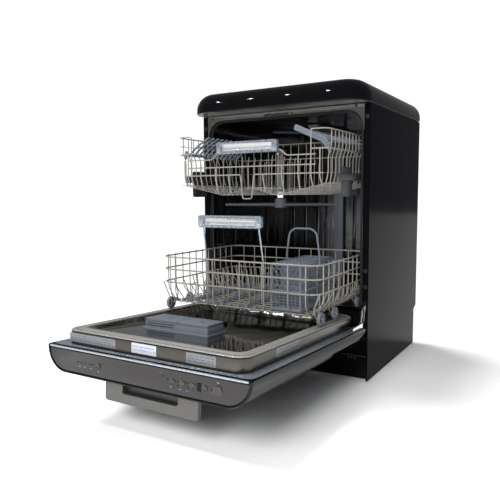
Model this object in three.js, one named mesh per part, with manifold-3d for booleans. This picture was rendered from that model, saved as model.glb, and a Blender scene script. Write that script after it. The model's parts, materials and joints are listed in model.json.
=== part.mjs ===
// Free-standing 60 cm dishwasher with a rounded worktop lid, with its door down and both racks drawn out.
// Millimetres, +Z up, +X to the right. The origin is the middle of the footprint, on the floor.
import * as THREE from 'three';
import { mergeVertices } from 'three/addons/utils/BufferGeometryUtils.js';
import Module from 'manifold-3d';

const wasm = await Module();
wasm.setup();

// ---- Driving dimensions -------------------------------------------------------------------------
// Heights are above the floor, depths are behind the cabinet's front plane (negative in front of it).
const BODY = { width: 588, depth: 552, bottom: 2, top: 826, sheet: 1.5 };
const STEP = { height: 131, inset: 29 };
const LID = { width: 600, bottom: 828, top: 893, front: -82, back: 559, skirt: 12, wall: 4 };
const FRONT_STRIP = { inner: 276, bottom: 250 };
const BASE = { halfWidth: 290, front: 26, back: 521, top: 108, wall: 3 };
const TUB = {
  half: 272, front: 3, back: 511, floor: 217.3, well: 203, top: 812, wall: 1.5, lip: 38, corner: 50,
};
const SUMP = { y: 262, radius: 70 };
const PIVOT = { y: -14, z: 157.5 };
const DOOR_TILT = THREE.MathUtils.degToRad(2.8);
const DOOR = { half: 294, start: 8, face: 664, outer: -53, flange: 12, corner: 62, sheet: 2.5 };
const INNER = { half: 262, start: 13.5, end: 640, top: 48.6, recess: 39, corner: 36, sheet: 1.5 };
const UPPER = { half: 247, front: -200, back: 195, rim: 739, second: 687, third: 638, floor: 590, wire: 4 };
const LOWER = {
  half: 257, front: -282, back: 140, hoops: [305, 344, 381], floor: 246, corner: 35, wire: 4.5,
};
const WHEEL = { x: 250, front: -247, back: 106, z: 236, radius: 18, width: 10 };
const BASKET = { x0: 106, x1: 198, y0: -262, y1: -40, z0: 251.5, z1: 380, wall: 2.5 };
const BAIL = { y: -151, foot: 366, waist: 396, shoulder: 456, top: 469, wire: 5 };
const DISPENSER = { x0: -146, x1: 54, y0: -476, y1: -400, lids: 57.5, top: 65, split: -38 };
const GRIP = { half: 137, low: -112, start: -627, end: -612, slotHalf: 82, slotLow: -87 };
const FEET = { x: 262, front: 52, back: 494 };
// Clearance between touching pieces, how far bars run into each other, the edge length that is simplified
// away, and how much lower the lengthwise wires lie than the wires that they are welded to.
const GAP = 0.3;
const RUN_ON = 0.76;
const SLIVER = 0.04;
const WELD = 1.2;

// ---- Colours ------------------------------------------------------------------------------------
function finish(color, roughness, metalness) {
  return new THREE.MeshStandardMaterial({ color, roughness, metalness });
}
const FINISH = {
  glossBlack: finish(0x07080a, 0.12, 0.1),
  steel: finish(0x8f8a80, 0.32, 0.9),
  tubSteel: finish(0x55565a, 0.25, 0.9),
  fascia: finish(0x4b4a49, 0.38, 0.6),
  silver: finish(0xb9bec2, 0.3, 0.7),
  handle: finish(0x77736c, 0.4, 0.6),
  chrome: finish(0xd4d6d8, 0.12, 1),
  zinc: finish(0x9a9da0, 0.45, 0.8),
  wire: finish(0xb3afa3, 0.4, 0.2),
  greyPlastic: finish(0x6b7580, 0.5, 0),
  palePlastic: finish(0xa9b0b6, 0.45, 0),
  darkPlastic: finish(0x1b1c1e, 0.55, 0),
  rubber: finish(0x18181a, 0.85, 0),
  iron: finish(0x5c5f61, 0.7, 0.4),
};

// ---- Solid helpers ------------------------------------------------------------------------------
function solid(geometry) {
  const plain = geometry.clone();
  plain.deleteAttribute('normal');
  plain.deleteAttribute('uv');
  const merged = mergeVertices(plain, 1e-5);
  return new wasm.Manifold(new wasm.Mesh({
    numProp: 3,
    vertProperties: new Float32Array(merged.attributes.position.array),
    triVerts: new Uint32Array(merged.index.array),
  }));
}

function geometryOf(manifold) {
  const mesh = manifold.simplify(SLIVER).getMesh();
  const geometry = new THREE.BufferGeometry();
  geometry.setAttribute('position', new THREE.BufferAttribute(new Float32Array(mesh.vertProperties), 3));
  geometry.setIndex(new THREE.BufferAttribute(new Uint32Array(mesh.triVerts), 1));
  geometry.computeVertexNormals();
  return geometry;
}

const join = (parts) => parts.reduce((sum, part) => sum.add(part));
const cut = (body, tools) => tools.reduce((rest, tool) => rest.subtract(tool), body);

function box(x0, x1, y0, y1, z0, z1) {
  const geometry = new THREE.BoxGeometry(x1 - x0, y1 - y0, z1 - z0);
  return solid(geometry.translate((x0 + x1) / 2, (y0 + y1) / 2, (z0 + z1) / 2));
}

// A cylinder or cone from low to high along axis 'x', 'y' or 'z', centred on the other two coordinates.
function round(axis, centre, low, high, radius, sides = 16, endRadius = radius) {
  const geometry = new THREE.CylinderGeometry(endRadius, radius, high - low, sides);
  geometry.translate(0, (low + high) / 2, 0);
  if (axis === 'z') geometry.rotateX(Math.PI / 2).translate(centre[0], centre[1], 0);
  if (axis === 'y') geometry.translate(centre[0], 0, centre[1]);
  if (axis === 'x') geometry.rotateZ(-Math.PI / 2).translate(0, centre[0], centre[1]);
  return solid(geometry);
}

// A straight square bar between two points, run on a little at each end so that bars join.
function bar(from, to, width) {
  const a = new THREE.Vector3(...from);
  const b = new THREE.Vector3(...to);
  const geometry = new THREE.BoxGeometry(width, width, a.distanceTo(b) + width * RUN_ON);
  const frame = new THREE.Matrix4().lookAt(a, b, Math.abs(b.z - a.z) > 0.7 * a.distanceTo(b)
    ? new THREE.Vector3(0, 1, 0) : new THREE.Vector3(0, 0, 1));
  geometry.applyMatrix4(frame).translate((a.x + b.x) / 2, (a.y + b.y) / 2, (a.z + b.z) / 2);
  return solid(geometry);
}

const wire = (points, width) => join(points.slice(1).map((point, i) => bar(points[i], point, width)));
const ring = (points, width) => wire([...points, points[0]], width);

// A flat outline in the plane across the axis, drawn from low to high along it.
// The outline's coordinates are (x, y) for 'z', (x, z) for 'y' and (y, z) for 'x'.
function prism(axis, outline, low, high) {
  const shape = new THREE.Shape(outline.map(([u, v]) => new THREE.Vector2(u, v)));
  const geometry = new THREE.ExtrudeGeometry(shape, { depth: high - low, bevelEnabled: false, steps: 1 });
  if (axis === 'z') geometry.translate(0, 0, low);
  if (axis === 'y') geometry.rotateX(Math.PI / 2).translate(0, high, 0);
  if (axis === 'x') geometry.rotateX(Math.PI / 2).rotateZ(Math.PI / 2).translate(low, 0, 0);
  return solid(geometry);
}

// Points of an arc about (u, v), in degrees.
const arc = (u, v, radius, from, to, steps) => Array.from({ length: steps + 1 }, (_, i) => {
  const angle = THREE.MathUtils.degToRad(from + (to - from) * i / steps);
  return [u + radius * Math.cos(angle), v + radius * Math.sin(angle)];
});

// A rounded rectangle; radii are [low-u low-v, high-u low-v, high-u high-v, low-u high-v].
function roundedBox(u0, u1, v0, v1, radii, steps = 4) {
  const corners = [[u0, v0, 1, 1, 180], [u1, v0, -1, 1, 270], [u1, v1, -1, -1, 0], [u0, v1, 1, -1, 90]];
  return corners.flatMap(([u, v, su, sv, start], i) => (radii[i] > 0
    ? arc(u + su * radii[i], v + sv * radii[i], radii[i], start, start + 90, steps) : [[u, v]]));
}

// count numbers from one to the other, evenly spaced.
function evenly(from, to, count) {
  return Array.from({ length: count }, (_, i) => from + (to - from) * i / (count - 1));
}

// The interval from a to b on the right (side 1), or its mirror image on the left (side -1), low end first.
const span = (side, a, b) => [Math.min(side * a, side * b), Math.max(side * a, side * b)];
const SIDES = [[-1, 'left'], [1, 'right']];

// ---- Groups -------------------------------------------------------------------------------------
const group = new THREE.Group();
const machine = new THREE.Group();
machine.position.y = -BODY.depth / 2;
const door = new THREE.Group();
door.position.set(0, PIVOT.y, PIVOT.z);
door.rotation.x = -DOOR_TILT;
machine.add(door);
group.add(machine);

function place(parent, name, manifold, material) {
  const mesh = new THREE.Mesh(geometryOf(manifold), material);
  mesh.name = name;
  parent.add(mesh);
}

// ---- Worktop lid --------------------------------------------------------------------------------
// One ring of the lid's plan outline, pulled in from its widest by inset, with a large front corner.
function lidOutline(inset) {
  const half = LID.width / 2 - inset;
  const frontRadius = Math.max(80 - inset, 20);
  const backRadius = Math.max(34 - inset / 2, 8);
  return roundedBox(-half, half, LID.front + inset, LID.back - inset * 0.6,
    [frontRadius, frontRadius, backRadius, backRadius], 5);
}

// A closed body stacked from lid outlines at [inset, height] stations.
function lidStack(stations) {
  const rings = stations.map(([inset, z]) => lidOutline(inset).map(([x, y]) => [x, y, z]));
  const count = rings[0].length;
  const points = rings.flat();
  const faces = [];
  for (let r = 0; r + 1 < rings.length; r += 1) {
    for (let i = 0; i < count; i += 1) {
      const a = r * count + i;
      const b = r * count + (i + 1) % count;
      faces.push(a, b, b + count, a, b + count, a + count);
    }
  }
  const last = (rings.length - 1) * count;
  const caps = THREE.ShapeUtils.triangulateShape(rings[0].map(([x, y]) => new THREE.Vector2(x, y)), []);
  caps.forEach(([a, b, c]) => faces.push(a, c, b));
  const lid = THREE.ShapeUtils.triangulateShape(rings.at(-1).map(([x, y]) => new THREE.Vector2(x, y)), []);
  lid.forEach(([a, b, c]) => faces.push(last + a, last + b, last + c));
  const geometry = new THREE.BufferGeometry();
  geometry.setAttribute('position', new THREE.Float32BufferAttribute(points.flat(), 3));
  geometry.setIndex(faces);
  return solid(geometry);
}

function bullnose(offset, bottom) {
  const radius = LID.top - LID.bottom - LID.skirt - offset;
  const start = LID.bottom + LID.skirt;
  const steps = evenly(0, 90, 6).map((degrees) => {
    const angle = THREE.MathUtils.degToRad(degrees);
    return [offset + radius * (1 - Math.cos(angle)), start + radius * Math.sin(angle)];
  });
  return [[offset, bottom], ...steps];
}

const lidInside = lidStack(bullnose(LID.wall, LID.bottom - 1));
place(machine, 'top_lid', lidStack(bullnose(0, LID.bottom)).subtract(lidInside), FINISH.glossBlack);
const lidFloor = lidStack([[LID.wall + GAP, LID.bottom], [LID.wall + GAP, LID.bottom + 3]]);
place(machine, 'lid_base', lidFloor, FINISH.darkPlastic);

// ---- Cabinet ------------------------------------------------------------------------------------
// The sides have a step at the back, where hoses pass, and turn inwards at their front and back edges.
const stepTop = STEP.height + 12;
const sideOutline = [[0, BODY.bottom], [BODY.depth - STEP.inset, BODY.bottom],
  [BODY.depth - STEP.inset, STEP.height], [BODY.depth, stepTop], [BODY.depth, BODY.top], [0, BODY.top]];

function sidePanel(side) {
  const outer = BODY.width / 2;
  const sheet = prism('x', sideOutline, ...span(side, outer, outer - BODY.sheet));
  const strip = box(...span(side, outer, FRONT_STRIP.inner), 0, BODY.sheet, FRONT_STRIP.bottom, BODY.top);
  const foot = box(...span(side, outer, outer - 5), 0, BODY.sheet, BODY.bottom, FRONT_STRIP.bottom + 1);
  const rear = box(...span(side, outer, outer - 16), BODY.depth - BODY.sheet, BODY.depth, stepTop, BODY.top);
  return join([sheet, strip, foot, rear]);
}
place(machine, 'left_side_panel', sidePanel(-1), FINISH.glossBlack);
place(machine, 'right_side_panel', sidePanel(1), FINISH.glossBlack);

const backFace = box(-292, 292, BODY.depth - 3.5, BODY.depth - 1.8, stepTop + 3, BODY.top - GAP);
const ribs = evenly(-180, 180, 3).map((x) => box(x - 30, x + 30, BODY.depth - 6, BODY.depth - 3, 220, 760));
place(machine, 'back_panel', join([backFace, ...ribs]), FINISH.zinc);

const tray = box(-BASE.halfWidth, BASE.halfWidth, BASE.front, BASE.back, 0, BASE.top);
const trayInside = box(-BASE.halfWidth + BASE.wall, BASE.halfWidth - BASE.wall,
  BASE.front + BASE.wall, BASE.back - BASE.wall, BASE.wall, BASE.top + 1);
const feet = [FEET.front, FEET.back].flatMap((y) => [[-FEET.x, y], [FEET.x, y]]);
const footHoles = feet.map((centre) => round('z', centre, -1, BASE.wall + 1, 17, 12));
place(machine, 'base_tray', cut(tray.subtract(trayInside), footHoles), FINISH.darkPlastic);
feet.forEach((centre, i) => {
  const pad = round('z', centre, 0, 8, 15, 12);
  const stem = round('z', centre, 7, 40, 6, 8);
  place(machine, `foot_${i + 1}`, pad.add(stem), FINISH.rubber);
});

const plinth = box(-288, 288, 19, 23, 3, 128);
const plinthLip = box(-288, 288, 19, 34, 124.5, 128);
place(machine, 'kick_plate', plinth.add(plinthLip), FINISH.glossBlack);
place(machine, 'counterweight', box(-230, 90, 455, 516, 4, 70), FINISH.iron);

// ---- Tub ----------------------------------------------------------------------------------------
const tubOutline = (grow) => roundedBox(-TUB.half - grow, TUB.half + grow, TUB.floor - grow, TUB.top + grow,
  [16 + grow, 16 + grow, TUB.corner + grow, TUB.corner + grow], 5);
const well = (grow) => box(-232 - grow, 232 + grow, 60 - grow, 482 + grow, TUB.well - grow, TUB.floor + 8);
const tubOuter = join([prism('y', tubOutline(TUB.wall), TUB.front, TUB.back + TUB.wall), well(TUB.wall)]);
const tubHollow = join([prism('y', tubOutline(0), TUB.front - 1, TUB.back), well(0)]);
const doorwayFloor = box(-274, 274, TUB.front - 1, TUB.lip, 190, TUB.floor + 8);
const sumpHole = round('z', [0, SUMP.y], 190, TUB.floor, SUMP.radius, 20);
place(machine, 'tub', cut(tubOuter, [tubHollow, doorwayFloor, sumpHole]), FINISH.tubSteel);

const opening = roundedBox(-TUB.half, TUB.half, 500, TUB.top, [0, 0, TUB.corner, TUB.corner], 5);
const crossbar = box(-275.5, 275.5, 0, 1.5, 752, 825.5).subtract(prism('y', opening, -1, 3));
const crossbarBack = box(-274, 274, 1, 25, TUB.top + 5, TUB.top + 7);
const lockSlot = box(-60, -14, -1, 30, 814, 819.5);
place(machine, 'front_crossbar', join([crossbar, crossbarBack]).subtract(lockSlot), FINISH.steel);
place(machine, 'door_lock', box(-58, -16, 0.3, 22, 814.3, 816.6), FINISH.darkPlastic);

const gasketOuter = roundedBox(-271.7, 271.7, 240, TUB.top - GAP, [0, 0, 49.7, 49.7], 5);
const gasketInner = roundedBox(-264, 264, 239, TUB.top - 8, [0, 0, 42, 42], 5);
const gasket = prism('y', gasketOuter, 8, 16).subtract(prism('y', gasketInner, 7, 17));
place(machine, 'tub_gasket', gasket, FINISH.rubber);

// ---- Hydraulics under and behind the tub --------------------------------------------------------
const sumpCup = round('z', [0, SUMP.y], 126, 201, SUMP.radius + 8, 20).subtract(
  round('z', [0, SUMP.y], 130, 202, SUMP.radius + 2, 20));
const sumpSpigot = round('x', [SUMP.y, 150], SUMP.radius + 4, 98, 17, 12);
const sumpBore = round('x', [SUMP.y, 150], SUMP.radius - 12, 99, 13, 12);
place(machine, 'sump', join([sumpCup, sumpSpigot]).subtract(sumpBore), FINISH.darkPlastic);
const pumpMotor = round('x', [SUMP.y, 150], 130, 215, 44, 16);
const pumpVolute = round('x', [SUMP.y, 150], 98.5, 131, 33, 16);
place(machine, 'circulation_pump', join([pumpMotor, pumpVolute]), FINISH.zinc);
const drainBody = round('y', [-120, 60], 300, 350, 30, 14).add(round('y', [-120, 60], 349, 385, 20, 14));
place(machine, 'drain_pump', drainBody, FINISH.darkPlastic);
const valveBody = box(-270, -220, 470, 512, 108.5, 138).add(round('y', [-245, 123], 511, 540, 13, 12));
place(machine, 'inlet_valve', valveBody, FINISH.palePlastic);
place(machine, 'water_tank', box(-291.5, -275, 120, 420, 260, 700), FINISH.palePlastic);

const ductBack = box(-18, 18, 494, TUB.back - GAP, TUB.floor + 6, 808);
const ductTop = box(-18, 18, SUMP.y - 16, 495, 799, 808);
const ductNozzle = round('z', [0, SUMP.y], 792, 800, 12, 12);
const ductLeg = box(-18, 18, 476, 494.5, TUB.floor + 6, TUB.floor + 16);
place(machine, 'feed_duct', join([ductBack, ductTop, ductNozzle, ductLeg]), FINISH.greyPlastic);

const filterTop = TUB.well + 2;
const filterCup = round('z', [0, SUMP.y], 138, filterTop, 44, 16).subtract(
  round('z', [0, SUMP.y], 141, filterTop + 1, 41, 16));
const filterBar = box(-42, 42, SUMP.y - 3, SUMP.y + 3, filterTop - 12, filterTop);
place(machine, 'filter_basket', filterCup.add(filterBar), FINISH.greyPlastic);
const saltCap = round('z', [-150, 350], TUB.well + GAP, TUB.well + 10, 30, 16).add(
  box(-176, -124, 346, 354, TUB.well + 9, TUB.well + 16));
place(machine, 'salt_cap', saltCap, FINISH.palePlastic);

// ---- Spray arms ---------------------------------------------------------------------------------
// Two tapering blades about a round hub; angle turns the blades from the X axis, in degrees.
function sprayArm(x, y, low, high, reach, width, angle) {
  const blade = [[0, -width / 2], [reach * 0.7, -width / 2], [reach, -width / 5], [reach, width / 5],
    [reach * 0.7, width / 2], [-reach * 0.7, width / 2], [-reach, width / 5], [-reach, -width / 5],
    [-reach * 0.7, -width / 2]];
  const turned = blade.map(([u, v]) => {
    const c = Math.cos(THREE.MathUtils.degToRad(angle));
    const s = Math.sin(THREE.MathUtils.degToRad(angle));
    return [x + u * c - v * s, y + u * s + v * c];
  });
  return prism('z', turned, low, high);
}
const lowerArm = sprayArm(0, SUMP.y, 222, 233, 205, 46, 12).add(round('z', [0, SUMP.y], 208, 238, 20, 14));
place(machine, 'lower_spray_arm', lowerArm, FINISH.palePlastic);
const ceilingHub = round('z', [0, SUMP.y], 770, 791.5, 17, 14);
const ceilingArm = sprayArm(0, SUMP.y, 776, 786, 150, 34, 40).add(ceilingHub);
place(machine, 'ceiling_spray_arm', ceilingArm, FINISH.palePlastic);
const MIDDLE_ARM = { y: 4 };
const middleArm = sprayArm(0, MIDDLE_ARM.y, 527, 538, 185, 40, 14).add(
  round('z', [0, MIDDLE_ARM.y], 522, 552, 20, 14));
place(machine, 'middle_spray_arm', middleArm, FINISH.palePlastic);

// ---- Upper rack, its rails and shelves ----------------------------------------------------------
function railChannel(side) {
  const web = box(...span(side, 268.5, 271.5), 22, 492, 598, 628);
  const lips = [598, 625.5].map((z) => box(...span(side, 262.5, 269), 22, 492, z, z + 2.5));
  return join([web, ...lips]);
}
function railSlide(side) {
  const runner = box(...span(side, 256.5, 262), -150, 190, 603, 623);
  const tongue = box(...span(side, 261, 268), 30, 190, 603, 623);
  const bracket = box(...span(side, 252.5, 257), -118, 52, 556, 640);
  return join([runner, tongue, bracket]);
}
for (const [side, label] of SIDES) {
  place(machine, `upper_rail_${label}`, railChannel(side), FINISH.zinc);
  place(machine, `rail_slide_${label}`, railSlide(side), FINISH.greyPlastic);
}

// A side-to-side floor wire, dropping into two shallow valleys.
const upperEdge = UPPER.floor + 6;
const VALLEYS = [[-UPPER.half, upperEdge], [-85, 562], [0, 588], [85, 562], [UPPER.half, upperEdge]];
const floorWire = (y) => wire(VALLEYS.map(([x, z]) => [x, y, z]), 3);
function floorHeight(x) {
  const i = VALLEYS.findIndex(([edge]) => edge > x);
  const [[xa, za], [xb, zb]] = [VALLEYS[i - 1], VALLEYS[i]];
  return za + (zb - za) * (x - xa) / (xb - xa);
}

function upperRack() {
  const { half, front, back, rim, second, third, wire: thick } = UPPER;
  const hoop = (z) => wire([[-198, front, z], [-225, front, z], [-half, front + 22, z], [-half, back, z],
    [half, back, z], [half, front + 22, z], [225, front, z], [198, front, z]], thick);
  const frontRail = wire([[-210, front, 668], [-122, front, 668], [-100, front, 690], [106, front, 690],
    [124, front, 672], [210, front, 672]], thick);
  const loop = wire([[-210, front, 622], [-24, front, 622], [-18, front, 553], [14, front, 553],
    [20, front, 622], [232, front, 622]], thick);
  const across = [wire([[-210, front, 645], [210, front, 645]], thick)];
  const floor = evenly(front + 18, back - 2, 6).map(floorWire);
  const lengthwise = [-150, -40, 40, 150].map((x) => bar([x, front + 18, floorHeight(x) - WELD],
    [x, back, floorHeight(x) - WELD], 3));
  const posts = evenly(front + 26, back, 5).flatMap((y) => [-half, half].map(
    (x) => bar([x, y, upperEdge], [x, y, rim], 3)));
  const rear = evenly(-190, 190, 5).map((x) => bar([x, back, upperEdge], [x, back, rim], 3));
  const rearRails = [upperEdge, third].map((z) => bar([-half, back, z], [half, back, z], 3));
  const foot = (x, top, knee, width) => wire(
    [[x, front, top], [x, front, knee], [x, front + 18, floorHeight(x)]], width);
  const frontPosts = [-198, 198].map((x) => foot(x, rim, 606, 3.6));
  const tips = [-110, 110].map((x) => foot(x, 645, 590, 3));
  const tines = evenly(-144, 157, 5).flatMap((y) => [-40, 150].map(
    (x) => bar([x, y, floorHeight(x)], [x, y, 640], 3)));
  return join([hoop(rim), hoop(second), frontRail, loop, ...across, ...floor, ...lengthwise, ...posts,
    ...rear, ...rearRails, ...frontPosts, ...tips, ...tines]);
}
place(machine, 'upper_rack', upperRack(), FINISH.wire);

// A rack handle: a moulded bar, hollow behind, with rounded ends. x0 to x1 wide, z0 to z1 high.
function rackHandle(x0, x1, z0, z1, front, depth) {
  const outline = roundedBox(x0, x1, z0, z1, [6, 6, 6, 6], 3);
  const hollow = box(x0 + 8, x1 - 8, front + 5, front + depth + 1, z0 + 5, z1 - 5);
  return prism('y', outline, front, front + depth).subtract(hollow);
}
place(machine, 'upper_rack_handle', rackHandle(-96, 104, 682, 716, -219, 16), FINISH.silver);

// A fold-up cup shelf: a hinge rod with slats. low is the hinge edge, high the free edge.
function cupShelf(side) {
  const hinge = [side * 236, 690];
  const free = side < 0 ? [side * 128, 712] : [side * 128, 752];
  const y0 = -168;
  const y1 = side < 0 ? 110 : 150;
  const edges = [hinge, free].map(([x, z]) => bar([x, y0, z], [x, y1, z], 6));
  const slats = evenly(y0, y1, 9).map((y) => bar([hinge[0], y, hinge[1]], [free[0], y, free[1]], 5));
  return join([...edges, ...slats]);
}
place(machine, 'cup_shelf_left', cupShelf(-1), FINISH.greyPlastic);
place(machine, 'cup_shelf_right', cupShelf(1), FINISH.greyPlastic);

// ---- Lower rack ---------------------------------------------------------------------------------
function lowerHoop(z) {
  const { half, front, back, corner } = LOWER;
  return ring(roundedBox(-half, half, front, back, [corner, corner, corner, corner], 2)
    .map(([x, y]) => [x, y, z]), LOWER.wire);
}
function lowerRack() {
  const { half, front, back, floor, hoops } = LOWER;
  const top = hoops.at(-1);
  const across = evenly(front + 22, back - 22, 7).map((y) => bar([-228, y, floor], [228, y, floor], 3.5));
  const under = floor - WELD;
  const lengthwise = (x, start) => bar([x, start, under], [x, back - 22, under], 3.5);
  const along = [-228, -160, -70, 20, 228].map((x) => lengthwise(x, front + 22));
  const sidePosts = evenly(front + 36, back - 36, 5).flatMap((y) => [-1, 1].map((side) => wire(
    [[side * half, y, top], [side * half, y, floor + 34], [side * 228, y, floor]], 3.5)));
  const endPosts = evenly(-205, 205, 5).flatMap((x) => [[front, 22], [back, -22]].map(([y, inward]) => wire(
    [[x, y, top], [x, y, floor + 22], [x, y + inward, floor]], 3.5)));
  const tines = [-160, -70, 20].flatMap((x) => evenly(front + 60, back - 40, 5)
    .map((y) => bar([x, y, floor], [x, y, floor + 82], 3.2)));
  const rearTines = evenly(4, back - 34, 3).map((y) => bar([140, y, floor], [140, y, floor + 82], 3.2));
  return join([...hoops.map(lowerHoop), ...across, ...along, ...sidePosts, ...endPosts, ...tines,
    ...rearTines, lengthwise(140, -33.5)]);
}
place(machine, 'lower_rack', lowerRack(), FINISH.wire);

const lowerGrip = rackHandle(-100, 104, 474, 508, -308, 16);
const lowerLegs = [-88, 92].map((x) => wire([[x, -274, 256], [x, -274, 392], [x, -298, 478]], 4));
place(machine, 'lower_rack_handle', join([lowerGrip, ...lowerLegs]), FINISH.silver);

for (const [label, x] of [['left', -WHEEL.x], ['right', WHEEL.x]]) {
  for (const [end, y] of [['front', WHEEL.front], ['rear', WHEEL.back]]) {
    const tyre = round('x', [y, WHEEL.z], x - WHEEL.width / 2, x + WHEEL.width / 2, WHEEL.radius, 18);
    const hub = round('x', [y, WHEEL.z], x - WHEEL.width / 2 - 2, x + WHEEL.width / 2 + 2, 5, 8);
    place(machine, `${end}_wheel_${label}`, tyre.add(hub), FINISH.greyPlastic);
  }
}

// The basket has one wall across its middle and a lower one along it.
function cutleryBasket() {
  const { x0, x1, y0, y1, z0, z1, wall } = BASKET;
  const middle = (x0 + x1) / 2;
  const hollow = box(x0 + wall, x1 - wall, y0 + wall, y1 - wall, z0 + wall, z1 + 1);
  const shell = box(x0, x1, y0, y1, z0, z1).subtract(hollow);
  const across = box(x0 + 1, x1 - 1, BAIL.y - 1.5, BAIL.y + 1.5, z0 + 1, z1 - 2);
  const along = box(middle - 1.5, middle + 1.5, y0 + 1, y1 - 1, z0 + 1, z1 - 40);
  return join([shell, across, along]);
}
place(machine, 'cutlery_basket', cutleryBasket(), FINISH.greyPlastic);

// The bail handle stands outside the basket's ends, narrowing to its top.
function bailHandle() {
  const low = BASKET.x0 - 4.5;
  const high = BASKET.x1 + 4.5;
  const points = [[low, BAIL.foot], [low, BAIL.waist], [low + 8.5, BAIL.shoulder], [low + 24.5, BAIL.top],
    [high - 24.5, BAIL.top], [high - 8.5, BAIL.shoulder], [high, BAIL.waist], [high, BAIL.foot]];
  return wire(points.map(([x, z]) => [x, BAIL.y, z]), BAIL.wire);
}
place(machine, 'basket_handle', bailHandle(), FINISH.greyPlastic);

// ---- Door: coordinates are across, towards the hinge (+) or the control face (-), and towards the inside.
const skinSection = (grow) => roundedBox(-DOOR.half - grow, DOOR.half + grow, DOOR.outer - grow, DOOR.flange,
  [DOOR.corner + grow, DOOR.corner + grow, 0, 0], 6);
const skinSide = (start, end, outer, radius, top) => [[-end, top], [-end, outer],
  ...arc(-start - radius, outer + radius, radius, 270, 360, 5), [-start, top]];
const skinSolid = prism('y', skinSection(0), -DOOR.face + 3, -DOOR.start).intersect(
  prism('x', skinSide(DOOR.start, DOOR.face, DOOR.outer, 48, DOOR.flange), -300, 300));
const skinHollow = prism('y', skinSection(-DOOR.sheet), -DOOR.face - 1, -DOOR.start - DOOR.sheet).intersect(
  prism('x', skinSide(DOOR.start + DOOR.sheet, DOOR.face + 1, DOOR.outer + DOOR.sheet, 46,
    DOOR.flange - DOOR.sheet), -300, 300));
const flangeHole = box(-INNER.half + 4, INNER.half - 4, -INNER.end + 4, -INNER.start - 4, 0, 20);
place(door, 'outer_door_skin', cut(skinSolid, [skinHollow, flangeHole]), FINISH.glossBlack);

const BUTTONS = [['power_button', 214, 11], ['button_program', 98, 6.5], ['button_option', 125, 6.5],
  ['button_delay', 152, 6.5], ['button_start', 182, 6.5], ['button_half_load', -122, 6]];
const BUTTON_LEVEL = -20.5;
const fasciaPlate = prism('y', skinSection(-3.5), -DOOR.face, -DOOR.face + 2.7);
const fasciaRim = cut(prism('y', skinSection(-3.5), -DOOR.face + 2, -DOOR.face + 14), [
  prism('y', skinSection(-6), -DOOR.face + 1, -DOOR.face + 15),
  box(-300, 300, -DOOR.face + 2.7, -DOOR.face + 15, DOOR.flange - 3.2, DOOR.flange + 1),
]);
const buttonHoles = BUTTONS.map(([, x, radius]) => round(
  'y', [x, BUTTON_LEVEL], -DOOR.face - 1, -DOOR.face + 4, radius + 0.6, 16));
const displayRecess = box(162, 172, -DOOR.face - 1, -DOOR.face + 1, BUTTON_LEVEL - 8, BUTTON_LEVEL + 8);
const rimSpace = box(-300, 300, -DOOR.face, -DOOR.face + 14, DOOR.outer, DOOR.flange - 3.5);
const fascia = cut(fasciaPlate.add(fasciaRim.intersect(rimSpace)), [...buttonHoles, displayRecess]);
place(door, 'control_panel', fascia, FINISH.fascia);
BUTTONS.forEach(([name, x, radius]) => {
  const cap = round('y', [x, BUTTON_LEVEL], -DOOR.face - 2.2, -DOOR.face + 5, radius, 16);
  const collar = round('y', [x, BUTTON_LEVEL], -DOOR.face + 3.6, -DOOR.face + 5, radius + 2, 16);
  place(door, name, cap.add(collar), FINISH.silver);
});

const gripOutline = roundedBox(-GRIP.half, GRIP.half, GRIP.low, DOOR.outer - GAP, [9, 9, 0, 0], 3);
const gripSlot = roundedBox(-GRIP.slotHalf, GRIP.slotHalf, GRIP.slotLow, -40, [7, 7, 0, 0], 3);
const grip = prism('y', gripOutline, GRIP.start, GRIP.end).subtract(
  prism('y', gripSlot, GRIP.start - 3, GRIP.end + 12));
place(door, 'door_handle', grip, FINISH.handle);

const panelPlan = (grow, end) => roundedBox(-INNER.half - grow, INNER.half + grow, -INNER.end - grow,
  -INNER.start + grow, [INNER.corner, INNER.corner, end, end], 3);
const pressing = (grow, depth) => prism('z', roundedBox(-232 - grow, 232 + grow, -596 - grow, -52 + grow,
  [14, 14, 14, 14], 3), depth, INNER.top + 2);
const panelOuter = prism('z', panelPlan(0, 6), DOOR.flange + GAP, INNER.top).subtract(
  pressing(0, INNER.recess));
const panelInside = prism('z', panelPlan(-INNER.sheet, 6), DOOR.flange - 1, INNER.top - INNER.sheet).subtract(
  pressing(INNER.sheet, INNER.recess - INNER.sheet));
// A box over the dispenser's plan, pulled in from its sides by inset.
function dispenserBox(inset, low, high, x0 = DISPENSER.x0, x1 = DISPENSER.x1) {
  return box(x0 + inset, x1 - inset, DISPENSER.y0 + inset, DISPENSER.y1 - inset, low, high);
}
const dispenserHole = dispenserBox(8, 20, 60);
place(door, 'inner_door_panel', cut(panelOuter, [panelInside, dispenserHole]), FINISH.steel);

// ---- Detergent dispenser ------------------------------------------------------------------------
const dispenserBlock = dispenserBox(0, INNER.recess + GAP, DISPENSER.lids).add(dispenserBox(9, 8, 45));
const detergentCup = dispenserBox(14, 14, 70, DISPENSER.x0 + 2, DISPENSER.split + 2);
const rinseCup = round('z', [12, -438], 14, 70, 20, 16);
place(door, 'dispenser_body', cut(dispenserBlock, [detergentCup, rinseCup]), FINISH.greyPlastic);
const lidLow = DISPENSER.lids + GAP;
const detergentLid = dispenserBox(1, lidLow, DISPENSER.top, DISPENSER.x0 + 1, DISPENSER.split + 1 - GAP);
place(door, 'detergent_lid', detergentLid, FINISH.greyPlastic);
const rinseAidLid = dispenserBox(1, lidLow, DISPENSER.top, DISPENSER.split - 1 + GAP, DISPENSER.x1);
place(door, 'rinse_aid_lid', rinseAidLid, FINISH.greyPlastic);

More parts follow.
